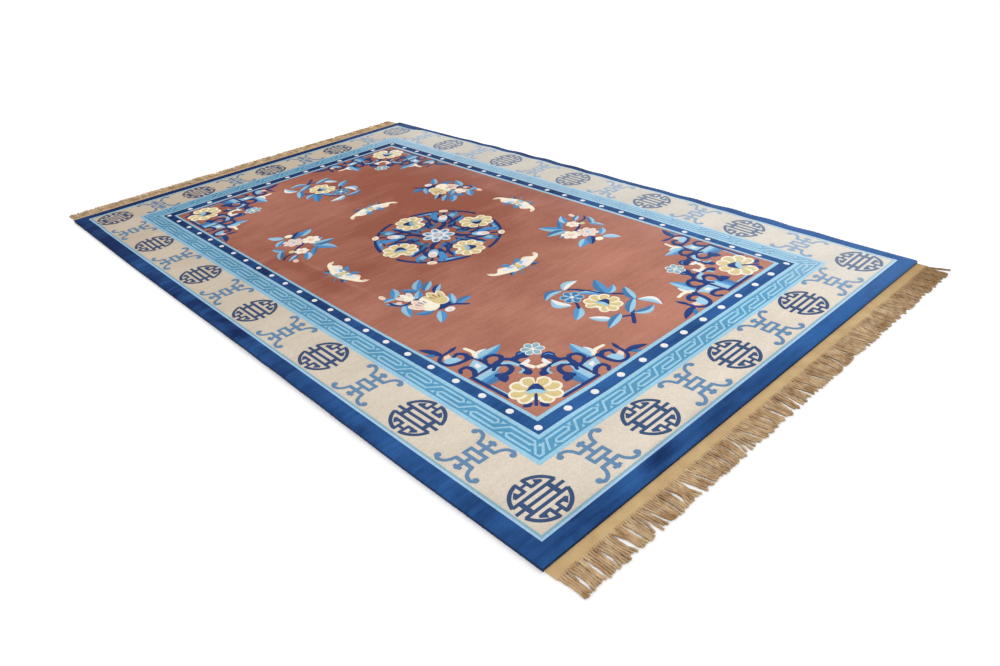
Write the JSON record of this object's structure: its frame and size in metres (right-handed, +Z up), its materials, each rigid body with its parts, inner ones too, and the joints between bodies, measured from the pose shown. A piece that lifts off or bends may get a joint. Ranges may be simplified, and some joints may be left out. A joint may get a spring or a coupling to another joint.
{
  "type": "fringed chinese pile rug",
  "caption": "Rectangular hand-knotted wool pile rug with a flat woven band and twisted fringe at each short end.",
  "frame": {"origin": "under the middle of the rug, on the floor that it lies on", "axes": "+Y along the rug's length towards its far end, +X across its width, +Z up out of the pile"},
  "size_m": [1.524, 2.5885, 0.0164],
  "materials": {
    "wool_pile": "cut wool pile, matt with a slight sheen",
    "cotton_fringe": "flat woven and twisted cotton yarn, matt"
  },
  "bodies": {
    "root": {"rug_pile": "wool_pile", "fringe_near": "cotton_fringe", "fringe_far": "cotton_fringe"}
  },
  "joints": []
}
